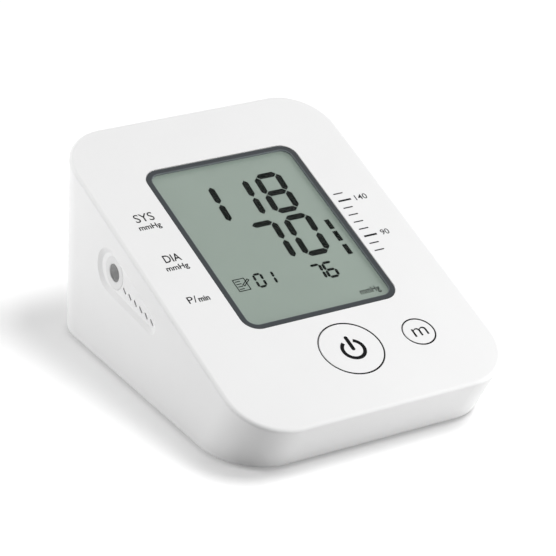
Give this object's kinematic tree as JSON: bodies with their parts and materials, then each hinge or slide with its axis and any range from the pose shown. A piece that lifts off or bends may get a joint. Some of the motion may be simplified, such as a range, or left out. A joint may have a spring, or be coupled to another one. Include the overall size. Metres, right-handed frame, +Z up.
{
  "type": "blood pressure monitor",
  "caption": "Wedge-shaped desk blood pressure monitor with a tilted segment display, round power and memory keys, a side cuff air socket and a hinged battery door underneath.",
  "frame": {"origin": "on the table under the middle of the unit", "axes": "+X to the user's right, +Y to the back, +Z up; the display face slopes up to the back"},
  "size_m": [0.1, 0.1291, 0.0647],
  "materials": {
    "housing_white": "fine satin moulding",
    "base_white": "satin moulding",
    "foot_rubber": "matt rubber",
    "screw_steel": "zinc plated",
    "contact_nickel": "nickel plated",
    "bezel_grey": "dark grey satin gloss",
    "lens_clear": "clear polished",
    "lcd_panel": "grey green liquid crystal panel",
    "reflector_silver": "silvered film",
    "frame_black": "matt",
    "silicone": "soft translucent grey",
    "board_green": "green solder mask",
    "chip_black": "matt moulded",
    "component_metal": "bright cans",
    "jack_grey": "light grey moulded",
    "valve_metal": "plated",
    "pump_black": "matt moulded",
    "motor_steel": "plated steel",
    "cell_wrap": "plain dark wrap",
    "key_white": "satin moulding"
  },
  "bodies": {
    "housing": {"upper_housing": "housing_white", "base_cover": "base_white", "rubber_feet": "foot_rubber", "pump_sleeves": "foot_rubber", "case_screws": "screw_steel", "board_screws": "screw_steel", "left_contacts": "contact_nickel", "right_contacts": "contact_nickel", "display_bezel": "bezel_grey", "display_lens": "lens_clear", "lcd_glass": "lcd_panel", "lcd_reflector": "reflector_silver", "lcd_frame": "frame_black", "zebra_strip": "silicone", "jack_washer": "silicone", "jack_hose": "silicone", "valve_hose": "silicone", "pump_hose": "silicone", "main_board": "board_green", "processor_chip": "chip_black", "pressure_sensor": "chip_black", "buzzer": "chip_black", "power_inlet": "chip_black", "power_switch": "chip_black", "memory_switch": "chip_black", "board_components": "component_metal", "air_jack": "jack_grey", "air_tee": "jack_grey", "release_valve": "valve_metal", "pump_head": "pump_black", "pump_motor": "motor_steel", "battery_cell_1": "cell_wrap", "battery_cell_2": "cell_wrap", "battery_cell_3": "cell_wrap", "battery_cell_4": "cell_wrap"},
    "power_key": {"power_button": "key_white", "power_plunger": "chip_black"},
    "memory_key": {"memory_button": "key_white", "memory_plunger": "chip_black"},
    "door": {"battery_door": "base_white"},
    "rotor": {"pump_rotor": "motor_steel", "pump_crank": "jack_grey"},
    "plunger": {"valve_plunger": "valve_metal"}
  },
  "joints": [
    {"name": "power_press", "type": "slide", "parent": "housing", "child": "power_key", "axis": [0, 0.342, -0.9397], "range_m": [0, 0.0006], "stiffness_N_per_m": 800, "springref_m": -0.001},
    {"name": "memory_press", "type": "slide", "parent": "housing", "child": "memory_key", "axis": [0, 0.342, -0.9397], "range_m": [0, 0.0006], "stiffness_N_per_m": 800, "springref_m": -0.001},
    {"name": "door_hinge", "type": "hinge", "parent": "housing", "child": "door", "pos_m": [0, -0.01978, 0.0019], "axis": [-1, 0, 0], "range_deg": [0, 80]},
    {"name": "pump_spin", "type": "hinge", "parent": "housing", "child": "rotor", "pos_m": [0, 0.048, 0.0337], "axis": [1, 0, 0], "continuous": true},
    {"name": "valve_stroke", "type": "slide", "parent": "housing", "child": "plunger", "axis": [0, 0, 1], "range_m": [0, 0.0008], "stiffness_N_per_m": 200, "springref_m": -0.002}
  ]
}
